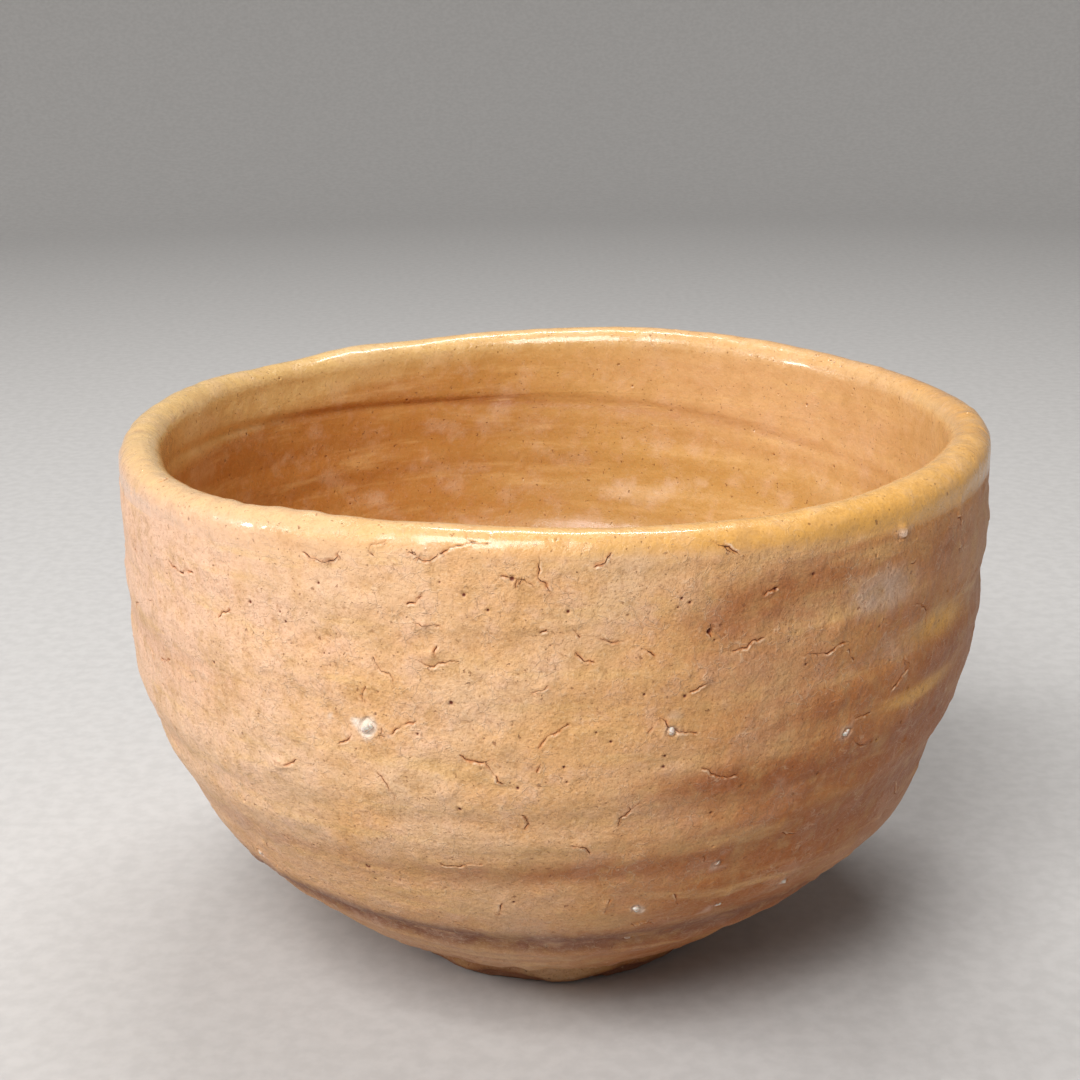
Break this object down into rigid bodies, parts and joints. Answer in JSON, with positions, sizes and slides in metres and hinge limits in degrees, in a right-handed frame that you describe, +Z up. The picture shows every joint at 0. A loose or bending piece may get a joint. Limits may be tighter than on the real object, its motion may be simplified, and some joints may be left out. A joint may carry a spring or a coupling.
{
  "type": "matcha bowl",
  "caption": "Hand-thrown stoneware tea bowl with a deep round body, a waving rounded lip, crackled orange glaze inside and out, and a trimmed ring foot.",
  "frame": {"origin": "centre of the foot's standing face, on the table", "axes": "+Z up through the open mouth, -Y towards the front side of the bowl, +X to its right"},
  "size_m": [0.1207, 0.1206, 0.0784],
  "materials": {
    "fired_clay": "matte",
    "foot_clay": "matte",
    "outer_glaze": "satin",
    "inner_glaze": "satin",
    "lip_glaze": "gloss",
    "foot_glaze": "satin",
    "feldspar": "satin"
  },
  "bodies": {
    "root": {"clay_body": "fired_clay", "foot_ring": "foot_clay", "outer_glaze": "outer_glaze", "inner_glaze": "inner_glaze", "lip_glaze": "lip_glaze", "foot_glaze": "foot_glaze", "feldspar_grains": "feldspar"}
  },
  "joints": []
}
